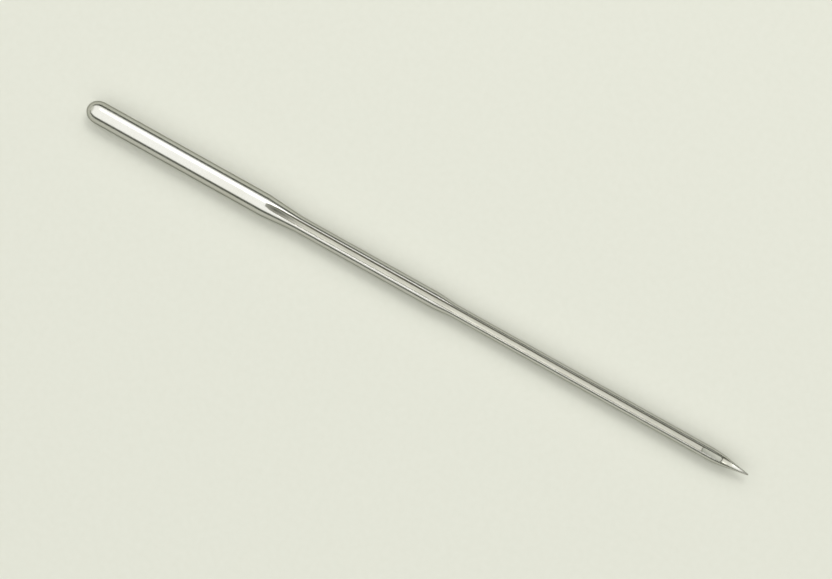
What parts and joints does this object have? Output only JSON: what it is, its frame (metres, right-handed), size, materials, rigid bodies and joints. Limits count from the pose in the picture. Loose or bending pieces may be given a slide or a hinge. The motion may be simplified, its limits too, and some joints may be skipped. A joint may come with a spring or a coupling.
{
  "type": "sewing machine needle",
  "caption": "Slim round-shank sewing machine needle with a domed butt, conical shoulder, stepped blade, long front groove, oblong eye, scarf and fine round point.",
  "frame": {"origin": "on the needle's axis, in the middle of the straight shank wall that a needle bar grips", "axes": "+X runs along the needle from the butt to the point, +Z faces out of the long groove, -Z out of the scarf"},
  "size_m": [0.0555, 0.0016, 0.0018],
  "materials": {
    "plated_steel": "polished hardened steel with a thin bright plating"
  },
  "bodies": {
    "root": {"needle": "plated_steel"}
  },
  "joints": []
}
